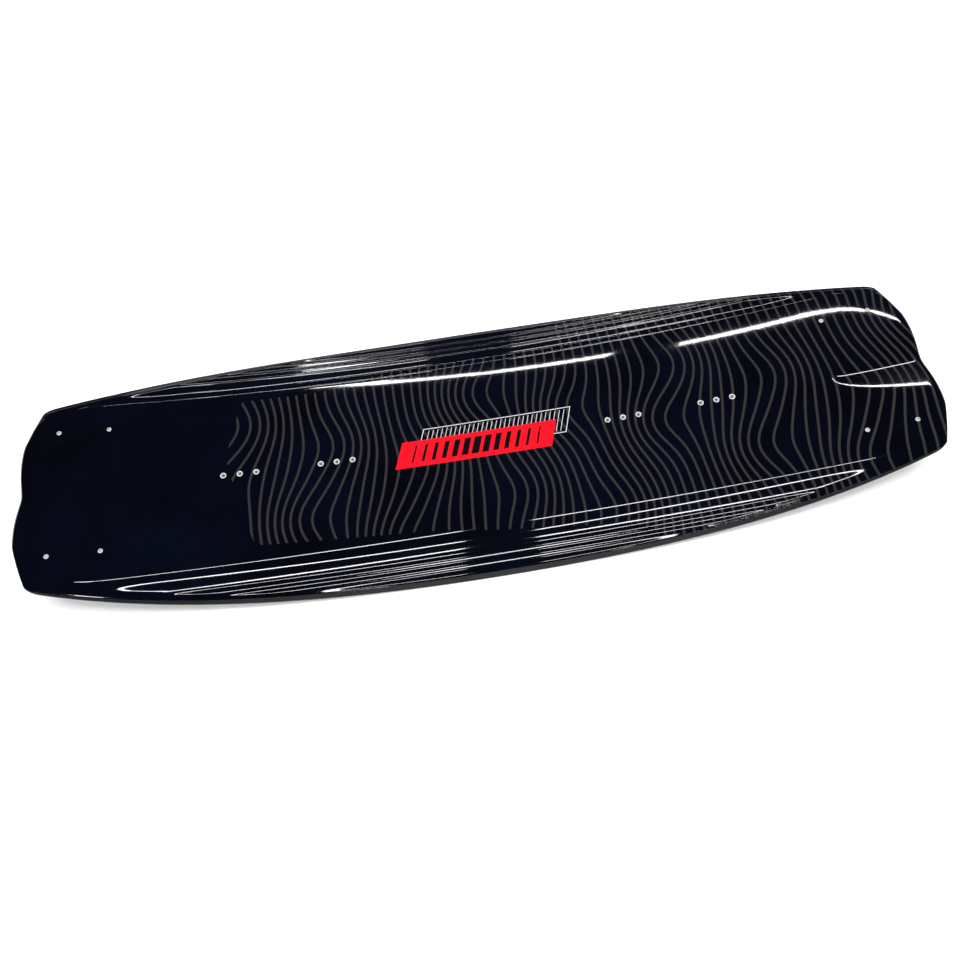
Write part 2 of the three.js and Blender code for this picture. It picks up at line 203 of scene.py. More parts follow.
def line_out(place, x):
    drawn = (np.maximum(0, np.abs(x) - DRAW_START) / (HALF_LENGTH - DRAW_START)) ** 2
    room = place["room"] * kept_room(x, place["loss"])
    return np.minimum(place["out"] - place["draw_in"] * drawn, half_width(x) - room)


def underside(x, y):
    return rocker(x) - base_valley(x, y)


def deck_height(x, y):
    """The share of the raised middle's height at a point of the deck."""
    away = np.abs(y)
    toward_tip = smoothstep((np.abs(x) - LAST_STATION) / (FIRST_TIP_LINE - LAST_STATION))
    places = [line_out(entry, x) for entry in DECK_LINES]
    shares = [entry["height"] + (entry["tip"] - entry["height"]) * toward_tip for entry in DECK_LINES]
    height = np.ones_like(x)
    before = 0 * x
    for k in range(2, len(DECK_LINES) - 1):
        after = (shares[k + 1] - shares[k]) / (places[k + 1] - places[k])
        soft = DECK_LINES[k]["soft"] * (kept_room(x) if k > 2 else 1)
        height = height + (after - before) * ramp(away - places[k], soft)
        before = after
    return height


def tip_height(x, y):
    back = tip_reach(y) - np.abs(x)
    height = np.ones_like(x)
    before = 0
    for (place, share, soft), (next_place, next_share, _) in zip(TIP_LINES, TIP_LINES[1:]):
        after = (next_share - share) / (place - next_place)
        height = height + (after - before) * ramp(place - back, soft)
        before = after
    return np.maximum(height, 0)


def deck(x, y):
    raised = (thickness(x) - EDGE_THICKNESS) * deck_height(x, y) * tip_height(x, y)
    return rocker(x) - deck_valley(x, y) + EDGE_THICKNESS + raised


# ---- Grids over the board. A grid's rows run along the board and its columns across it

FOLLOW_START = 560.0  # where the columns start to bend, and the run in which they take the tip's shape
FOLLOW_RUN = 116.0
FINEST_FOLLOW_STEP = 4.0
# Start, end and count of the closer columns beyond that run, then single ones up to the tip
TIP_COLUMN_RUNS = [(676, 697, 6), (697, 706, 6), (706, 711, 4)]
TIP_COLUMNS = [711, 712.5, 713.4, 714]
GRID_PASSES = 14  # a column's place depends on its row's, and the two settle within this many passes


def spaced(start, end, count):
    return list(np.linspace(start, end, count, endpoint=False))


def columns(step):
    """Places of a grid's columns along half of the board, from mid-length, closer together near the tip."""
    end = FOLLOW_START + FOLLOW_RUN
    half = spaced(0, FOLLOW_START, int(FOLLOW_START / step))
    half += spaced(FOLLOW_START, end, int(FOLLOW_RUN / min(step, FINEST_FOLLOW_STEP)))
    for run in TIP_COLUMN_RUNS:
        half += spaced(*run)
    return half + TIP_COLUMNS


def grid(rows, half_columns):
    """X and Y of a grid. A row is (line, next line, share of the way between them), from the middle out."""
    along = np.array([-c for c in half_columns[:0:-1]] + half_columns)
    across = [(row, -1) for row in rows[:0:-1]] + [(row, 1) for row in rows]
    reach = np.abs(along)
    follow = smoothstep((reach - FOLLOW_START) / FOLLOW_RUN)
    x_grid = np.zeros((len(across), len(along)))
    y_grid = np.zeros_like(x_grid)
    for j, ((inner, outer, share), side) in enumerate(across):
        x = reach.copy()
        for _ in range(GRID_PASSES):
            y = (1 - share) * line_out(inner, x) + share * line_out(outer, x)
            x = reach + (tip_reach(y) - HALF_LENGTH) * follow
        x_grid[j] = x * np.sign(along)
        y_grid[j] = y * side
    return x_grid, y_grid


def rows_between(lines, counts):
    rows = []
    for inner, outer, count in zip(lines, lines[1:], counts):
        rows += [(inner, outer, k / count) for k in range(count)]
    rows.append((lines[-2], lines[-1], 1.0))
    return rows


class Builder:
    """Collects the vertices and faces of one piece, in millimetres."""

    def __init__(self):
        self.points = []
        self.faces = []
        self.sharp = []

    def add(self, x, y, z):
        self.points.append((x, y, z))
        return len(self.points) - 1

    def piece(self, name, material, crease=math.radians(32)):
        mesh = bpy.data.meshes.new(name)
        mesh.from_pydata([(x * MM, y * MM, z * MM) for x, y, z in self.points], [], self.faces)
        mesh.materials.append(material)
        mesh.validate()
        for polygon in mesh.polygons:
            polygon.use_smooth = True
        made = bpy.data.objects.new(name, mesh)
        bpy.context.scene.collection.objects.link(made)
        mesh.set_sharp_from_angle(angle=crease)
        return made


def slab(x_grid, y_grid, keep, high, low, holes=()):
    """A closed sheet over the kept cells of a grid, between two surfaces, with round holes through it."""
    build = Builder()
    count_rows, count_columns = x_grid.shape
    keep = keep.copy()
    top = high(x_grid, y_grid)
    bottom = low(x_grid, y_grid)
    rings = []
    for hole_x, hole_y, radius in holes:
        inside = (np.abs(x_grid - hole_x) < radius + 1) & (np.abs(y_grid - hole_y) < radius + 1)
        js, ks = np.nonzero(inside)
        j0, j1, k0, k1 = js.min() - 1, js.max() + 1, ks.min() - 1, ks.max() + 1
        keep[j0:j1, k0:k1] = False
        loop = [(j0, k) for k in range(k0, k1)] + [(j, k1) for j in range(j0, j1)]
        loop += [(j1, k) for k in range(k1, k0, -1)] + [(j, k0) for j in range(j1, j0, -1)]
        rings.append((hole_x, hole_y, radius, loop))
    used = np.zeros(x_grid.shape, bool)
    for dj in (0, 1):
        for dk in (0, 1):
            used[dj : count_rows - 1 + dj, dk : count_columns - 1 + dk] |= keep
    number = -np.ones(x_grid.shape, int)
    number[used] = np.arange(used.sum())
    total = int(used.sum())
    build.points = list(zip(x_grid[used], y_grid[used], top[used]))
    build.points += list(zip(x_grid[used], y_grid[used], bottom[used]))
    for j, k in zip(*np.nonzero(keep)):
        a, b, c, d = number[j, k], number[j, k + 1], number[j + 1, k + 1], number[j + 1, k]
        build.faces.append((a, b, c, d))
        build.faces.append((d + total, c + total, b + total, a + total))
    padded = np.pad(keep, 1)
    for j, k in zip(*np.nonzero(keep)):
        corners = [(j, k), (j, k + 1), (j + 1, k + 1), (j + 1, k)]
        beside = [padded[j, k + 1], padded[j + 1, k + 2], padded[j + 2, k + 1], padded[j + 1, k]]
        for n in range(4):
            if beside[n]:
                continue
            first, second = corners[n], corners[(n + 1) % 4]
            if any(first in ring[3] and second in ring[3] for ring in rings):
                continue
            a, b = number[first], number[second]
            build.faces.append((b, a, a + total, b + total))
    for hole_x, hole_y, radius, loop in rings:
        levels = []
        for surface in (high, low):
            ring = []
            for j, k in loop:
                angle = math.atan2(y_grid[j, k] - hole_y, x_grid[j, k] - hole_x)
                x, y = hole_x + radius * math.cos(angle), hole_y + radius * math.sin(angle)
                ring.append(build.add(x, y, float(surface(np.array([x]), np.array([y]))[0])))
            levels.append(ring)
        outer = [number[place] for place in loop]
        for n in range(len(loop)):
            m = (n + 1) % len(loop)
            build.faces.append((outer[n], outer[m], levels[0][m], levels[0][n]))
            build.faces.append((outer[m] + total, outer[n] + total, levels[1][n], levels[1][m]))
            build.faces.append((levels[0][n], levels[0][m], levels[1][m], levels[1][n]))
    return build


# ---- Materials


class Nodes:
    """A material's node tree, with short calls for the nodes that it is built from."""

    def __init__(self, name):
        self.material = bpy.data.materials.new(name)
        self.material.use_nodes = True
        self.tree = self.material.node_tree
        self.tree.nodes.clear()
        self.shader = self.new("ShaderNodeBsdfPrincipled")
        output = self.new("ShaderNodeOutputMaterial")
        self.link(self.shader.outputs[0], output.inputs["Surface"])
        self.place = self.new("ShaderNodeTexCoord").outputs["Object"]

    def new(self, kind):
        return self.tree.nodes.new(kind)

    def link(self, source, target):
        self.tree.links.new(source, target)

    def put(self, socket, value):
        if isinstance(value, bpy.types.NodeSocket):
            self.link(value, socket)
        else:
            socket.default_value = value

    def math(self, operation, a, b=0.0, c=0.0):
        node = self.new("ShaderNodeMath")
        node.operation = operation
        for socket, value in zip(node.inputs, (a, b, c)):
            self.put(socket, value)
        return node.outputs[0]

    def noise(self, scale, detail=3.0, roughness=0.5, vector=None, stretch=None):
        source = self.place if vector is None else vector
        if stretch is not None:
            mapping = self.new("ShaderNodeMapping")
            self.link(source, mapping.inputs["Vector"])
            mapping.inputs["Scale"].default_value = stretch
            source = mapping.outputs[0]
        node = self.new("ShaderNodeTexNoise")
        self.link(source, node.inputs["Vector"])
        node.inputs["Scale"].default_value = scale
        node.inputs["Detail"].default_value = detail
        node.inputs["Roughness"].default_value = roughness
        return node.outputs[0]

    def span(self, value, low, high, to_low=0.0, to_high=1.0):
        node = self.new("ShaderNodeMapRange")
        for socket, number in zip(node.inputs, (value, low, high, to_low, to_high)):
            self.put(socket, number)
        return node.outputs[0]

    def mix(self, share, a, b):
        node = self.new("ShaderNodeMix")
        node.data_type = "RGBA"
        self.put(node.inputs[0], share)
        self.put(node.inputs[6], a)
        self.put(node.inputs[7], b)
        return node.outputs[2]

    def bump(self, height, strength, distance):
        node = self.new("ShaderNodeBump")
        self.link(height, node.inputs["Height"])
        node.inputs["Strength"].default_value = strength
        node.inputs["Distance"].default_value = distance
        return node.outputs[0]

    def set(self, **values):
        for name, value in values.items():
            self.put(self.shader.inputs[name.replace("_", " ")], value)
        return self


STRIPE_HALF = (1.8, 2.1)  # half of a stripe's width, from where it starts to fade to where it ends
SOFT_EDGE = 0.25  # how far to each side a printed edge fades
# The red banner's two ends and two edges, and how its ends slant: their sideways run for each millimetre up
BANNER_ENDS = (-127.0, 128.0)
BANNER_EDGES = (-28.8, 17.3)
BANNER_SLANT = 0.344
# The banner's bars: their two edges, where they start, their pitch, and the middle one's number
BAR_EDGES = (-20.5, 9.0)
BAR_START = -110.0
BAR_PITCH = 17.0
BAR_MIDDLE = 6.0
# Half of the widest and of the narrowest bar
BAR_WIDEST = 6.2
BAR_NARROWEST = 1.6
# The hatched frame behind the banner: its middle, half of its size, its line's half-width and the hatch
FRAME_MIDDLE = (26.0, 14.0)
FRAME_HALF = (122.0, 22.0)
FRAME_LINE = (0.5, 0.9)
HATCH_PITCH = 7.5
HATCH_LINE = (0.35, 0.7)
HATCH_INSET = (-3.4, -3.0)


def topsheet_print():
    """Gloss over a near-black film, printed with flowing stripes, a red banner and slanted bars."""
    n = Nodes("topsheet_gloss")
    flow = n.new("ShaderNodeAttribute")
    flow.attribute_name = "print_flow"
    parts = n.new("ShaderNodeSeparateXYZ")
    n.link(flow.outputs["Vector"], parts.inputs[0])
    stripe, tightness, inside = parts.outputs
    offset = n.math("SUBTRACT", n.math("FRACT", n.math("ADD", stripe, 0.5)), 0.5)
    distance = n.math("DIVIDE", n.math("ABSOLUTE", offset), tightness)
    stripes = n.span(distance, *STRIPE_HALF, 1.0, 0.0)
    stripes = n.math("MULTIPLY", stripes, n.span(inside, -0.3, 0.3))

    place = n.new("ShaderNodeSeparateXYZ")
    n.link(n.place, place.inputs[0])
    x = n.math("MULTIPLY", place.outputs[0], 1000)
    y = n.math("MULTIPLY", place.outputs[1], 1000)
    slanted = n.math("SUBTRACT", x, n.math("MULTIPLY", n.math("SUBTRACT", y, BANNER_EDGES[1]), BANNER_SLANT))

    def between(value, low, high):
        start = n.span(value, low - SOFT_EDGE, low + SOFT_EDGE)
        end = n.span(value, high - SOFT_EDGE, high + SOFT_EDGE, 1.0, 0.0)
        return n.math("MULTIPLY", start, end)

    banner = n.math("MULTIPLY", between(slanted, *BANNER_ENDS), between(y, *BANNER_EDGES))
    turn = n.math("DIVIDE", n.math("SUBTRACT", slanted, BAR_START), BAR_PITCH)
    from_middle = n.math("ABSOLUTE", n.math("SUBTRACT", n.math("FLOOR", turn), BAR_MIDDLE))
    half_bar = n.span(from_middle, 0.0, BAR_MIDDLE, BAR_WIDEST, BAR_NARROWEST)
    bar_end = BAR_START + (2 * BAR_MIDDLE + 1) * BAR_PITCH
    in_bar = n.math("MULTIPLY", n.math("SUBTRACT", n.math("FRACT", turn), 0.5), BAR_PITCH)
    bars = n.span(n.math("SUBTRACT", half_bar, n.math("ABSOLUTE", in_bar)), -SOFT_EDGE, SOFT_EDGE)
    bars = n.math("MULTIPLY", bars, between(y, *BAR_EDGES))
    bars = n.math("MULTIPLY", bars, between(slanted, BAR_START, bar_end))
    along = n.math("ABSOLUTE", n.math("SUBTRACT", slanted, FRAME_MIDDLE[0]))
    across = n.math("ABSOLUTE", n.math("SUBTRACT", y, FRAME_MIDDLE[1]))
    past_ends = n.math("SUBTRACT", along, FRAME_HALF[0])
    outside = n.math("MAXIMUM", past_ends, n.math("SUBTRACT", across, FRAME_HALF[1]))
    frame_line = n.span(n.math("ABSOLUTE", outside), *FRAME_LINE, 1.0, 0.0)
    hatch_turn = n.math("FRACT", n.math("DIVIDE", slanted, HATCH_PITCH))
    from_hatch = n.math("MULTIPLY", n.math("ABSOLUTE", n.math("SUBTRACT", hatch_turn, 0.5)), HATCH_PITCH)
    hatch = n.span(from_hatch, *HATCH_LINE, 1.0, 0.0)
    hatch = n.math("MULTIPLY", hatch, n.span(outside, *HATCH_INSET, 1.0, 0.0))
    outline = n.math("MAXIMUM", frame_line, hatch)

    tint = n.noise(9, 4, 0.6)
    film = n.mix(n.span(tint, 0.35, 0.65), (0.0006, 0.0008, 0.0022, 1), (0.0010, 0.0017, 0.0056, 1))
    grey = n.mix(n.noise(60, 2), (0.020, 0.0185, 0.0195, 1), (0.026, 0.0240, 0.0255, 1))
    colour = n.mix(stripes, film, grey)
    colour = n.mix(outline, colour, (0.50, 0.50, 0.50, 1))
    red = n.mix(n.noise(40, 2), (0.67, 0.0045, 0.012, 1), (0.74, 0.006, 0.016, 1))
    colour = n.mix(banner, colour, red)
    colour = n.mix(bars, colour, (0.003, 0.003, 0.004, 1))

    specks = n.noise(900, 1, 0.5)
    haze = n.noise(14, 5, 0.65)
    roughness = n.math("ADD", n.span(haze, 0.3, 0.75, 0.20, 0.34), n.span(specks, 0.70, 0.78, 0.0, 0.25))
    peel = n.math("ADD", n.noise(85, 2, 0.5), n.math("MULTIPLY", n.noise(420, 2, 0.5), 0.12))
    n.set(Base_Color=colour, Roughness=roughness)
    n.set(Coat_Weight=1.0, Coat_Roughness=0.045, Coat_IOR=1.5)
    n.shader.inputs["Specular IOR Level"].default_value = 0.0
    n.put(n.shader.inputs["Coat Normal"], n.bump(peel, 0.035, 0.0006))
    n.put(n.shader.inputs["Normal"], n.bump(peel, 0.06, 0.0006))
    return n.material


def plain_board_material(name, dark, light, rough, scale, bump, stretch=None, **values):
    """A solid finish with uneven colour, roughness and grain."""
    n = Nodes(name)
    grain = n.noise(scale, 5, 0.6, stretch=stretch)
    broad = n.noise(scale * 0.12, 3, 0.5)
    share = n.span(n.math("ADD", n.math("MULTIPLY", grain, 0.6), n.math("MULTIPLY", broad, 0.4)), 0.35, 0.65)
    n.set(Base_Color=n.mix(share, (*dark, 1), (*light, 1)))
    n.set(Roughness=n.span(grain, 0.3, 0.7, rough[0], rough[1]))
    n.set(Normal=n.bump(grain, bump, 0.0004), **values)
    return n.material


def laminate_material():
    """Woven glass cloth in resin: two crossed sets of strands."""
    n = Nodes("glass_laminate")
    waves = []
    for direction in ("X", "Y"):
        wave = n.new("ShaderNodeTexWave")
        wave.bands_direction = direction
        n.link(n.place, wave.inputs["Vector"])
        wave.inputs["Scale"].default_value = 180
        wave.inputs["Distortion"].default_value = 0.6
        wave.inputs["Detail"].default_value = 1
        waves.append(wave.outputs[1])
    weave = n.math("MULTIPLY", waves[0], waves[1])
    colour = n.mix(weave, (0.055, 0.058, 0.045, 1), (0.12, 0.125, 0.10, 1))
    n.set(Base_Color=colour, Roughness=n.span(weave, 0, 1, 0.45, 0.25))
    n.set(Normal=n.bump(weave, 0.4, 0.0002))
    return n.material


def metal_material(name, colour, rough, scale, metallic=1.0):
    """Plated metal: fine turning marks and small stains."""
    n = Nodes(name)
    marks = n.noise(scale, 4, 0.7, stretch=(1, 1, 3))
    stains = n.noise(scale * 0.1, 3, 0.6)
    dull = tuple(0.72 * c for c in colour)
    n.set(Base_Color=n.mix(n.span(stains, 0.35, 0.7), (*colour, 1), (*dull, 1)), Metallic=metallic)
    n.set(Roughness=n.span(marks, 0.3, 0.7, rough[0], rough[1]), Normal=n.bump(marks, 0.25, 0.0001))
    return n.material


gloss = topsheet_print()
sidewall_finish = plain_board_material(
    "sidewall_matte", (0.007, 0.0075, 0.0075), (0.014, 0.015, 0.015), (0.42, 0.6), 160, 0.35, (1, 1, 4)
)
sidewall_finish.node_tree.nodes["Principled BSDF"].inputs["Specular IOR Level"].default_value = 0.3
base_finish = plain_board_material(
    "base_satin",
    (0.004, 0.005, 0.009),
    (0.008, 0.010, 0.016),
    (0.18, 0.32),
    300,
    0.10,
    (0.08, 1, 1),
    Coat_Weight=0.3,
)
laminate_finish = laminate_material()
core_finish = plain_board_material(
    "foam_core", (0.62, 0.52, 0.36), (0.78, 0.70, 0.52), (0.8, 0.95), 700, 0.6
)
block_finish = plain_board_material(
    "dense_block", (0.22, 0.13, 0.06), (0.34, 0.22, 0.12), (0.6, 0.8), 90, 0.4, (0.1, 1, 1)
)
fin_finish = plain_board_material(
    "fin_plastic", (0.008, 0.008, 0.010), (0.016, 0.016, 0.019), (0.35, 0.5), 420, 0.25
)
insert_finish = metal_material("insert_steel", (0.62, 0.62, 0.60), (0.42, 0.55), 2500, 0.35)
screw_finish = metal_material("screw_steel", (0.60, 0.60, 0.59), (0.38, 0.50), 2500, 0.45)
nut_finish = metal_material("nut_brass", (0.72, 0.50, 0.20), (0.30, 0.42), 1800)

# ---- The print's flow: swells that push upright stripes aside

STRIPE_PITCH = 16.5
# Swells stand at even steps along the board, on a repeating set of places across it, and push by turns
SWELL_FIRST = -440.0
SWELL_STEP = 72.0
SWELL_COUNT = 17
SWELL_ROWS = (-20.0, 85.0, -95.0, 30.0, -150.0)
SWELL_PUSHES = (34.0, -27.0)  # towards the tail, then towards the nose
SWELL_REACH_ALONG = 60.0
SWELL_REACH_ACROSS = 56.0
SWELLS = [
    (SWELL_FIRST + n * SWELL_STEP, SWELL_ROWS[n % len(SWELL_ROWS)], SWELL_PUSHES[n % len(SWELL_PUSHES)])
    for n in range(SWELL_COUNT)
]


def flow_at(x, y):
    """The stripe number at a point, and how many stripes there are to a millimetre there."""
    number = x / STRIPE_PITCH
    along = np.full_like(x, 1 / STRIPE_PITCH)
    across = np.zeros_like(x)
    for centre_x, centre_y, push in SWELLS:
        off_x, off_y = x - centre_x, y - centre_y
        fall = (off_x / SWELL_REACH_ALONG) ** 2 + (off_y / SWELL_REACH_ACROSS) ** 2
        swell = push * np.exp(-fall) / STRIPE_PITCH
        number = number + swell
        along = along - 2 * swell * off_x / SWELL_REACH_ALONG**2
        across = across - 2 * swell * off_y / SWELL_REACH_ACROSS**2
    return number, np.maximum(np.hypot(along, across), 1e-3)


def print_inside(x, y):
    """How far inside the printed area a point is.

    The stripes stop short of the tail, and short of both long edges towards that end.
    """
    left = x + 408 - 0.10 * np.abs(y - 30) ** 1.2
    near_limit = np.interp(x, [-380, -100, 0, 120, 220, 330], [-122, -139, -153, -166, -178, -260])
    far_limit = np.interp(x, [-410, -250, -140, 150, 180], [131, 134, 158, 160, 260])
    return np.minimum(np.minimum(left, y - near_limit), far_limit - y)


# ---- The skins

deck_rows = rows_between(DECK_LINES, [11, 12, 10, 8, 4, 4, 4, 4, 4, 4, 7])
deck_x, deck_y = grid(deck_rows, columns(5))
all_cells = np.ones((deck_x.shape[0] - 1, deck_x.shape[1] - 1), bool)

insert_places = [
    (sign * (middle + n * INSERT_PITCH), f"{end}_{3 * group + n + 2}")
    for end, sign in ENDS
    for group, middle in enumerate(INSERT_GROUPS)
    for n in (-1, 0, 1)
]
screw_slope = float(rocker(FIN_X + 0.5) - rocker(FIN_X - 0.5))
screw_tilt = math.atan(screw_slope)


def screw_place(sign, across, toward):
    """Where a fin screw comes out of the deck."""
    along = toward * SCREW_SPACING / 2
    x = FIN_X + along * math.cos(screw_tilt)
    z = float(rocker(FIN_X)) + along * math.sin(screw_tilt)
    rise = float(thickness(FIN_X + along)) * math.cos(screw_tilt)
    x -= rise * math.sin(screw_tilt)
    return sign * x, across * FIN_Y


holes = [(x, 0.0, INSERT_HOLE) for x, _ in insert_places]
holes += [
    (*screw_place(sign, across, toward), SCREW_HOLE)
    for _, sign in ENDS
    for _, across in SIDES
    for toward in (-1, 1)
]


def rounded_deck(x, y):
    """The deck, with the topsheet's own edge rolled over."""
    out = half_width(x) - SKIN_ROOM * kept_room(x, SKIN_LOSS) - np.abs(y)
    back = tip_reach(y) - SKIN_BACK - np.abs(x)
    rim = np.clip(1 - np.minimum(out, back) / 0.9, 0, 1)
    return deck(x, y) - 0.35 * rim**2


skin = slab(deck_x, deck_y, all_cells, rounded_deck, lambda x, y: deck(x, y) - TOPSHEET, holes)
topsheet = skin.piece("topsheet_skin", gloss, math.radians(50))
points = np.array(skin.points)
number, tightness = flow_at(points[:, 0], points[:, 1])
flow = np.stack([number, tightness, print_inside(points[:, 0], points[:, 1])], 1)
stored = topsheet.data.attributes.new("print_flow", "FLOAT_VECTOR", "POINT")
stored.data.foreach_set("vector", flow.astype(np.float32).ravel())
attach(topsheet, "root")
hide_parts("topsheet")

top_laminate = slab(
    deck_x,
    deck_y,
    all_cells,
    lambda x, y: deck(x, y) - TOPSHEET - GAP,
    lambda x, y: deck(x, y) - TOPSHEET - GAP - LAMINATE,
    holes,
).piece("top_laminate_skin", laminate_finish)
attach(top_laminate, "root")
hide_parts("top_laminate")

# Grid lines for the pieces below the skins, from the middle out to the board's edge. Heights don't matter
rim_lines = [
    line(0, 0, 1, 1),
    line(58, 0, 1, 1),
    line(150, 31, 1, 1),
    line(BEYOND, RIM_WIDTH + GAP, 0, 0),
    line(BEYOND, RIM_WIDTH, 0, 0),
    line(BEYOND, SKIN_ROOM, 0, 0, loss=SKIN_LOSS),
    line(BEYOND, 2.4, 0, 0),
    line(BEYOND, 0.8, 0, 0),
    line(BEYOND, 0, 0, 0),
]
RIM_ROW_COUNTS = [4, 4, 4, 1, 3, 5, 3, 3]
rim_rows = rows_between(rim_lines, RIM_ROW_COUNTS)
rim_columns = columns(8) + [714.6, 715.2, 715.7, HALF_LENGTH]
rim_x, rim_y = grid(rim_rows, rim_columns)
cells = (rim_x.shape[0] - 1, rim_x.shape[1] - 1)


def edge_distance(x, y):
    """How far in from the edge a point is, with the tips' narrower bevel counted as wide as the sides'."""
    side = (half_width(x) - np.abs(y)) / kept_room(x, SKIN_LOSS)
    tip = (tip_reach(y) - np.abs(x)) * SKIN_ROOM / SKIN_BACK
    return np.minimum(side, np.maximum(tip, 0))


def base_low(x, y):
    near = np.clip(1 - np.minimum(half_width(x) - np.abs(y), tip_reach(y) - np.abs(x)) / 1.0, 0, 1)
    return underside(x, y) + 0.5 * near**2


base_cells = np.ones(cells, bool)
base_holes = []
for (_, sign), (_, across) in [(e, s) for e in ENDS for s in SIDES]:
    for toward in (-1, 1):
        along = toward * SCREW_SPACING / 2 * math.cos(screw_tilt)
        base_holes.append((sign * (FIN_X + along), across * FIN_Y, 3.7))
base = slab(rim_x, rim_y, base_cells, lambda x, y: underside(x, y) + BASE_SHEET, base_low, base_holes)
base = base.piece("base_skin", base_finish)
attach(base, "root")
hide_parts("base_sheet")

bottom_laminate = slab(
    rim_x,
    rim_y,
    base_cells,
    lambda x, y: underside(x, y) + BASE_SHEET + GAP + LAMINATE,
    lambda x, y: underside(x, y) + BASE_SHEET + GAP,
    base_holes,
).piece("bottom_laminate_skin", laminate_finish)
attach(bottom_laminate, "root")
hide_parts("bottom_laminate")


def rim_top(x, y):
    """The sidewalls' and spacers' top: under the skins, then a bevel down to the board's upright edge."""
    in_from_edge = np.clip(edge_distance(x, y) / SKIN_ROOM, 0, 1)
    lip = underside(x, y) + LIP_HEIGHT
    under_skin = deck(x, y) - TOPSHEET - 2 * GAP - LAMINATE
    bevel = lip + (EDGE_THICKNESS - TOPSHEET - 2 * GAP - LAMINATE - LIP_HEIGHT) * in_from_edge
    lip_round = 0.7 * np.clip(1 - in_from_edge * 8, 0, 1) ** 2
    return np.where(in_from_edge < 1, np.minimum(bevel, under_skin) - lip_round, under_skin)


def rim_bottom(x, y):
    return underside(x, y) + BASE_SHEET + LAMINATE + 2 * GAP


j_mid = (np.arange(cells[0]) + 0.5)[:, None]
rows_per_side = len(rim_rows) - 1
rim_start = sum(RIM_ROW_COUNTS[:4])  # the sidewalls' inner face
from_centre = np.abs(j_mid - rows_per_side)
is_side = np.repeat(from_centre > rim_start, cells[1], 1)
middle_x = 0.25 * (rim_x[:-1, :-1] + rim_x[1:, :-1] + rim_x[:-1, 1:] + rim_x[1:, 1:])
middle_y = 0.25 * (rim_y[:-1, :-1] + rim_y[1:, :-1] + rim_y[:-1, 1:] + rim_y[1:, 1:])
middle_back = tip_reach(middle_y) - np.abs(middle_x)
is_tip = middle_back < RIM_WIDTH
before_joint = np.abs(middle_x) < RIM_JOINT
for side, sign in SIDES:
    keep = is_side & before_joint & (middle_y * sign > 0)
    made = slab(rim_x, rim_y, keep, rim_top, rim_bottom).piece(f"sidewall_{side}_skin", sidewall_finish)
    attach(made, "root")
    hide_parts(f"sidewall_{side}")
for end, sign in ENDS:
    keep = (is_tip | (is_side & ~before_joint)) & (middle_x * sign > 0)
    made = slab(rim_x, rim_y, keep, rim_top, rim_bottom).piece(f"tip_spacer_{end}_skin", sidewall_finish)
    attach(made, "root")
    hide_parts(f"tip_spacer_{end}")


# ---- Turned hardware


def revolve(rings, turns=40):
    """A closed turned solid. A ring is (radius or function of the angle, height or function of the angle)."""
    build = Builder()
    numbers = []
    for radius, height in rings:
        ring = []
        for t in range(turns):
            angle = 2 * math.pi * t / turns
            r = radius(angle) if callable(radius) else radius
            z = height(angle) if callable(height) else height
            ring.append(build.add(r * math.cos(angle), r * math.sin(angle), z))
        numbers.append(ring)
    for low, high in zip(numbers, numbers[1:]):
        for t in range(turns):
            s = (t + 1) % turns
            build.faces.append((low[t], low[s], high[s], high[t]))
    build.faces.append(tuple(reversed(numbers[0])))
    build.faces.append(tuple(numbers[-1]))
    return build


def thread(radius, depth, bottom, top, pitch, upward):
    """Rings of a thread, which starts and ends by fading out."""
    count = int((top - bottom) / pitch * 6)
    rings = []
    for n in range(count + 1):
        share = n / count
        level = bottom + (top - bottom) * share
        fade = min(1, 6 * share, 6 * (1 - share))

        def wall(angle, level=level, fade=fade):
            turn = (level / pitch - angle / (2 * math.pi)) % 1
            return radius + depth * fade * (1 - abs(2 * turn - 1))

        rings.append((wall, level))
    return rings if upward else rings[::-1]


def place(made, matrix, name, slot_name):
    made.data.transform(matrix)
    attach(made, "root")
    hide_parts(name)


def scaled(x, y, z):
    return Matrix.Translation(Vector((x, y, z)) * MM)


INSERT_RINGS = [
    (6.9, -13.5),
    (7.5, -13.1),
    (7.5, -12.3),
    (7.1, -11.9),
    (5.0, -11.9),
    (4.8, -11.6),
    (4.8, 0.2),
    (4.55, 0.45),
    (4.3, 0.5),
    (3.35, 0.5),
    (3.15, 0.42),
    (2.75, -0.1),
    *thread(2.6, 0.32, -9.5, -0.2, 1.0, False),
    (2.6, -11.0),
    (2.2, -11.5),
]


def crown_height(x):
    """Height of the deck on the centreline, at a distance x from mid-length."""
    return float(rocker(np.array(x)) + thickness(np.array(x)))


for x, label in insert_places:
    away = abs(x)
    tilt = math.atan((crown_height(away + 0.5) - crown_height(away - 0.5)) * (1 if x > 0 else -1))
    made = revolve(INSERT_RINGS).piece(f"insert_{label}_turned", insert_finish)
    matrix = scaled(x, 0, crown_height(away)) @ Matrix.Rotation(-tilt, 4, "Y")
    place(made, matrix, f"binding_insert_{label}", "insert_steel")


def hexagon(flat):
    def radius(angle):
        turn = (angle + math.pi / 6) % (math.pi / 3) - math.pi / 6
        return flat / math.cos(turn)

    return radius


def fin_seat(sign, across):
    """The frame of a fin: on the underside of the base, with X to the tip and Z along the base's normal."""
    seat = scaled(sign * FIN_X, across * FIN_Y, float(rocker(FIN_X)))
    return seat @ Matrix.Rotation(0 if sign > 0 else math.pi, 4, "Z") @ Matrix.Rotation(-screw_tilt, 4, "Y")


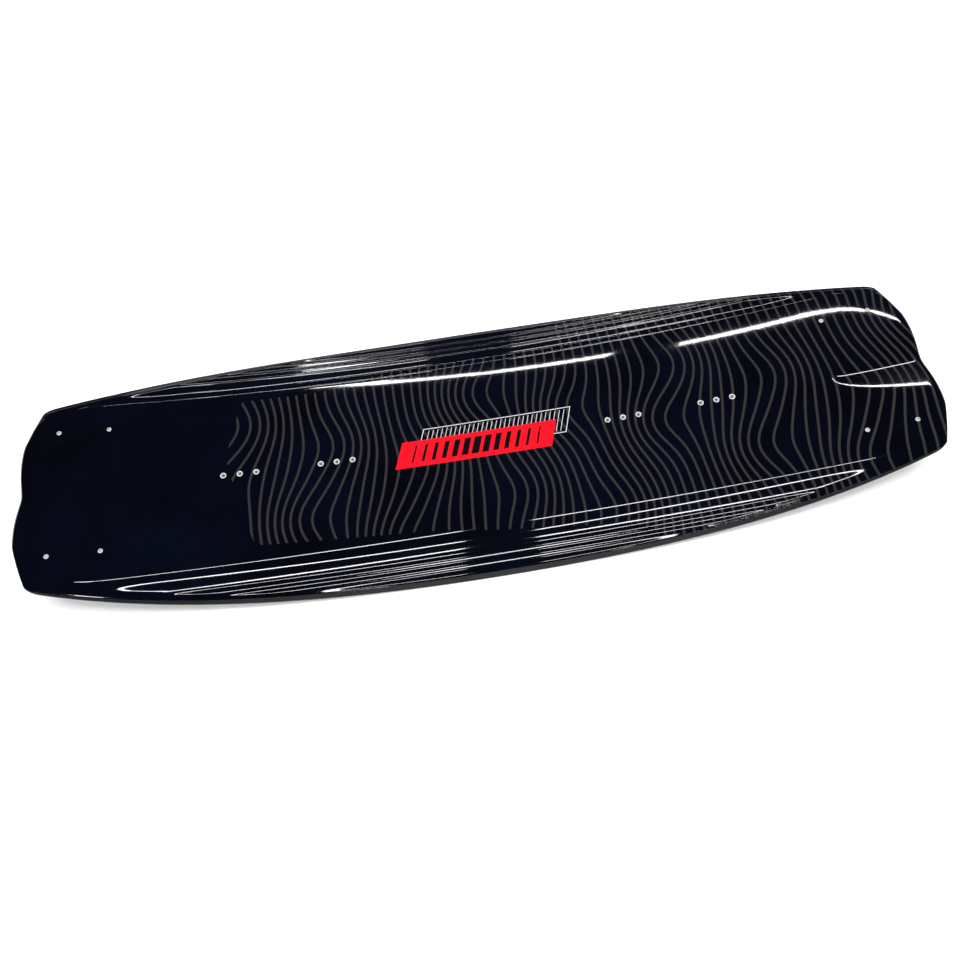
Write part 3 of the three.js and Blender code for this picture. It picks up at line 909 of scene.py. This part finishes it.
SCREW_END = -8.6
for end, sign in ENDS:
    for side, across in SIDES:
        seat = fin_seat(sign, across)
        for where, toward in (("inner", -1), ("outer", 1)):
            along = toward * SCREW_SPACING / 2
            top = float(thickness(FIN_X + along)) * math.cos(screw_tilt) + SCREW_PROUD
            rings = [
                (2.2, SCREW_END),
                *thread(2.45, 0.42, SCREW_END + 0.5, top - 6.0, 1.0, True),
                (2.9, top - 5.2),
                (2.9, top - 3.0),
                (3.5, top - 1.15),
                (3.6, top - 0.95),
                (3.6, top - 0.5),
                (3.4, top - 0.16),
                (2.9, top),
                (2.15, top),
                (hexagon(1.75), top - 0.35),
                (hexagon(1.72), top - 1.9),
                (0.8, top - 2.1),
            ]
            made = revolve(rings, 48).piece(f"screw_{end}_{side}_{where}_turned", screw_finish)
            place(made, seat @ scaled(along, 0, 0), f"fin_screw_{end}_{side}_{where}", "screw_steel")

# ---- Fins: a foiled blade and two nut bosses on a round-ended foot

FOOT_HALF = 49.0
FOOT_RADIUS = 10.0
FOOT_THICKNESS = 4.0
FIN_DEPTH = 27.0
BLADE_HALF = FOOT_HALF - 6.0
BLADE_ROOT = 6.0
BLADE_TIP = 2.6
BLADE_FILLET = 3.0
BLADE_START = 2.0  # inside the foot
FOIL_LEAN = 0.2  # how much fuller the blade's leading half is
BLADE_LEVELS = 22
BOSS_RINGS = [(5.0, -11.0), (5.6, -10.7), (5.9, -10.1), (7.2, -1.0)]
POCKET_RINGS = [(4.9, -9.4), (4.9, 1.0)]
# Height control points of the blade's two edges, from the foot to its lowest point
BLADE_LEFT = [(-BLADE_HALF, 2.0), (22.0 - BLADE_HALF, 0.75 * FIN_DEPTH), (-6.0, FIN_DEPTH), (14.0, FIN_DEPTH)]
BLADE_RIGHT = [(BLADE_HALF, 2.0), (BLADE_HALF - 5.0, 0.6 * FIN_DEPTH), (34.0, FIN_DEPTH), (14.0, FIN_DEPTH)]


def bezier(points, t):
    weights = [(1 - t) ** 3, 3 * t * (1 - t) ** 2, 3 * t * t * (1 - t), t**3]
    return [sum(w * p[axis] for w, p in zip(weights, points)) for axis in (0, 1)]


def edge_at(points, depth):
    t = np.linspace(0, 1, 400)
    along, down = bezier(points, t)
    return float(np.interp(depth, down, along))


def lofted(rings):
    """A closed solid through rings of points with equal counts, from the lowest ring up."""
    build = Builder()
    numbers = [[build.add(*point) for point in ring] for ring in rings]
    count = len(rings[0])
    for low, high in zip(numbers, numbers[1:]):
        for t in range(count):
            s = (t + 1) % count
            build.faces.append((low[t], low[s], high[s], high[t]))
    build.faces.append(tuple(reversed(numbers[0])))
    build.faces.append(tuple(numbers[-1]))
    return build


def foot_ring(inset, z, turns=48):
    ring = []
    straight = FOOT_HALF - FOOT_RADIUS
    for t in range(turns):
        angle = 2 * math.pi * (t + 0.5) / turns
        centre = straight if math.cos(angle) > 0 else -straight
        radius = FOOT_RADIUS - inset
        ring.append((centre + radius * math.cos(angle), radius * math.sin(angle), z))
    return ring


def blade_ring(depth, turns=56):
    left, right = edge_at(BLADE_LEFT, depth), edge_at(BLADE_RIGHT, depth)
    middle, half_chord = (left + right) / 2, (right - left) / 2
    share = depth / FIN_DEPTH
    half = 0.5 * (BLADE_ROOT + (BLADE_TIP - BLADE_ROOT) * share)
    half *= math.sqrt(max(0.04, 1 - share**8))
    above_foot = (depth - FOOT_THICKNESS) / BLADE_FILLET
    flare = BLADE_FILLET * (1 - min(1.0, max(0.0, above_foot))) ** 2
    ring = []
    for t in range(turns):
        angle = 2 * math.pi * t / turns
        foil = (half + flare) * math.sin(angle) * (1 + FOIL_LEAN * math.cos(angle))
        ring.append((middle + half_chord * math.cos(angle), foil, -depth))
    return ring


def fin_mesh():
    """The fin in the frame of its seat, as one closed mesh."""
    depths = [FIN_DEPTH * (1 - 0.0015), BLADE_START]
    depths += [FIN_DEPTH * math.sin(0.5 * math.pi * (1 - k / BLADE_LEVELS)) for k in range(1, 20)]
    depths = sorted({round(depth, 4) for depth in depths if depth >= BLADE_START}, reverse=True)
    blade = lofted([blade_ring(depth) for depth in depths])
    foot_levels = [(1.3, -4.0), (0.5, -3.7), (0.1, -3.2), (0.0, -2.7), (0.0, -0.2), (0.15, 0.0)]
    foot = lofted([foot_ring(inset, z) for inset, z in foot_levels])
    parts = [foot.piece("fin_foot", fin_finish), blade.piece("fin_blade", fin_finish)]
    for toward in (-1, 1):
        boss = revolve(BOSS_RINGS, 36).piece("fin_boss", fin_finish)
        boss.data.transform(scaled(toward * SCREW_SPACING / 2, 0, 0))
        parts.append(boss)
    cutters = []
    for toward in (-1, 1):
        pocket = revolve(POCKET_RINGS, 36).piece("fin_pocket", fin_finish)
        pocket.data.transform(scaled(toward * SCREW_SPACING / 2, 0, 0))
        cutters.append(pocket)
    body = parts[0]
    steps = [(part, "UNION") for part in parts[1:]] + [(cutter, "DIFFERENCE") for cutter in cutters]
    for other, operation in steps:
        cut = body.modifiers.new("cut", "BOOLEAN")
        cut.operation = operation
        cut.solver = "EXACT"
        cut.object = other
    evaluated = body.evaluated_get(bpy.context.evaluated_depsgraph_get())
    made = bpy.data.meshes.new_from_object(evaluated)
    for part in parts + cutters:
        bpy.data.objects.remove(part)
    return made


fin_form = fin_mesh()
for end, sign in ENDS:
    for side, across in SIDES:
        fin_data = fin_form.copy()
        made = bpy.data.objects.new(f"fin_{end}_{side}_moulded", fin_data)
        bpy.context.scene.collection.objects.link(made)
        for polygon in fin_data.polygons:
            polygon.use_smooth = True
        fin_data.set_sharp_from_angle(angle=math.radians(38))
        place(made, fin_seat(sign, across), f"fin_{end}_{side}", "fin_plastic")

# ---- The carried-over CAD nodes' finishes

FINISHES = {
    "core": core_finish,
    "binding_block": block_finish,
    "fin_block": block_finish,
    "fin_nut": nut_finish,
}
for name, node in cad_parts.items():
    for start, finish in FINISHES.items():
        if name.startswith(start) and not node.hide_render:
            node.data.materials.clear()
            node.data.materials.append(finish)
            break

# ---- Floor, lights and camera

FLOOR_HALF = 6.0
floor_build = Builder()
for x, y in ((-1, -1), (1, -1), (1, 1), (-1, 1)):
    floor_build.add(x * FLOOR_HALF / MM, y * FLOOR_HALF / MM, 0)
floor_build.faces.append((0, 1, 2, 3))
floor_material = Nodes("studio_floor")
floor_material.set(Base_Color=(0.93, 0.93, 0.93, 1), Roughness=0.9)
floor_material.shader.inputs["Specular IOR Level"].default_value = 0.0
floor = floor_build.piece("studio_floor", floor_material.material)


def area_light(name, centre, size, radiance, turn=0.0, soft=False, aim=None):
    """A flat light facing down, or facing a point, whose surface has a given radiance."""
    data = bpy.data.lights.new(name, "AREA")
    data.shape = "RECTANGLE"
    data.size, data.size_y = size
    data.energy = radiance * math.pi * size[0] * size[1]
    light = bpy.data.objects.new(name, data)
    bpy.context.scene.collection.objects.link(light)
    light.location = centre
    light.rotation_euler = (0, 0, turn)
    if aim is not None:
        light.rotation_euler = (Vector(aim) - Vector(centre)).to_track_quat("-Z", "Y").to_euler()
    light.visible_glossy = not soft
    light.visible_camera = False
    return light


area_light("overhead_soft", (0.0, 0.4, 3.2), (4.6, 3.6), 2.1, soft=True)
TUBE_HEIGHT = 2.2
# Tube lights over the board: their ends along X, their places along Y at those ends, width and radiance
TUBES = [
    (-1.26, -0.066, -0.10, -0.10, 0.08, 34),
    (0.225, 1.26, -0.10, -0.10, 0.08, 34),
    (-0.56, 0.58, -1.10, -1.10, 0.09, 34),
    (0.79, 1.25, -1.10, -1.10, 0.09, 34),
    (-0.575, 0.655, 2.03, 1.68, 0.075, 34),
    (0.885, 1.43, 1.56, 1.45, 0.075, 34),
    (1.43, 1.86, 1.45, 1.17, 0.09, 34),
    (-1.10, -0.115, 2.62, 2.62, 0.07, 34),
    (0.33, 1.20, 2.62, 2.62, 0.07, 34),
    (-0.80, 1.05, 3.50, 3.50, 0.09, 34),
    (-1.47, -0.98, 2.40, 2.40, 0.06, 22),
    (0.78, 1.60, 2.40, 2.40, 0.06, 22),
]
for k, (start, end, start_y, end_y, width, radiance) in enumerate(TUBES):
    length = math.hypot(end - start, end_y - start_y)
    turn = math.atan2(end_y - start_y, end - start)
    centre = ((start + end) / 2, (start_y + end_y) / 2, TUBE_HEIGHT)
    area_light(f"tube_{k}", centre, (length, width), radiance, turn)

# Dim panels behind the board's two ends, which the slopes that face away from the camera mirror
PANEL_PLACES = [(-1.7, 5.4, 1.25), (1.6, 5.4, 1.25)]
PANEL_SIZE = (1.9, 1.7)
PANEL_RADIANCE = 1.3
for k, centre in enumerate(PANEL_PLACES):
    area_light(f"back_panel_{k}", centre, PANEL_SIZE, PANEL_RADIANCE, aim=(centre[0], 0.0, centre[2]))

# The surroundings: pale to the camera, softer as light, and nearly dark to reflections, so that the gloss
# shows the lights alone
WORLD_LIGHT = 0.45
WORLD_IN_REFLECTIONS = 0.02
WORLD_ADDED_TO_CAMERA = 0.5
world = bpy.data.worlds.new("studio")
world.use_nodes = True
world_nodes = world.node_tree.nodes
background = world_nodes["Background"]
background.inputs["Color"].default_value = (0.97, 0.98, 1.0, 1)
light_path = world_nodes.new("ShaderNodeLightPath")
strength = world_nodes.new("ShaderNodeMapRange")
strength.inputs["To Min"].default_value = WORLD_LIGHT
strength.inputs["To Max"].default_value = WORLD_IN_REFLECTIONS
world.node_tree.links.new(light_path.outputs["Is Glossy Ray"], strength.inputs["Value"])
seen = world_nodes.new("ShaderNodeMath")
seen.operation = "MULTIPLY_ADD"
seen.inputs[1].default_value = WORLD_ADDED_TO_CAMERA
world.node_tree.links.new(light_path.outputs["Is Camera Ray"], seen.inputs[0])
world.node_tree.links.new(strength.outputs[0], seen.inputs[2])
world.node_tree.links.new(seen.outputs[0], background.inputs["Strength"])
bpy.context.scene.world = world
bpy.context.scene.view_settings.view_transform = "Standard"

CAMERA_PLACE = (-0.0326, -0.4657, 0.9747)
CAMERA_RIGHT = Vector((0.98748, -0.15397, -0.03431))
CAMERA_DOWN = Vector((-0.15550, -0.91342, -0.37614))
CAMERA_AHEAD = Vector((0.02657, 0.37677, -0.92593))
SENSOR = 36.0
FOCAL_SHARE = 650.0 / 970.0  # the focal length as a share of the frame's width
camera_data = bpy.data.cameras.new("camera")
camera_data.sensor_width = SENSOR
camera_data.lens = SENSOR * FOCAL_SHARE
camera_data.clip_start = 0.01
camera = bpy.data.objects.new("camera", camera_data)
bpy.context.scene.collection.objects.link(camera)
turned = Matrix((CAMERA_RIGHT, -CAMERA_DOWN, -CAMERA_AHEAD)).transposed().to_4x4()
camera.matrix_world = Matrix.Translation(CAMERA_PLACE) @ turned
bpy.context.scene.camera = camera
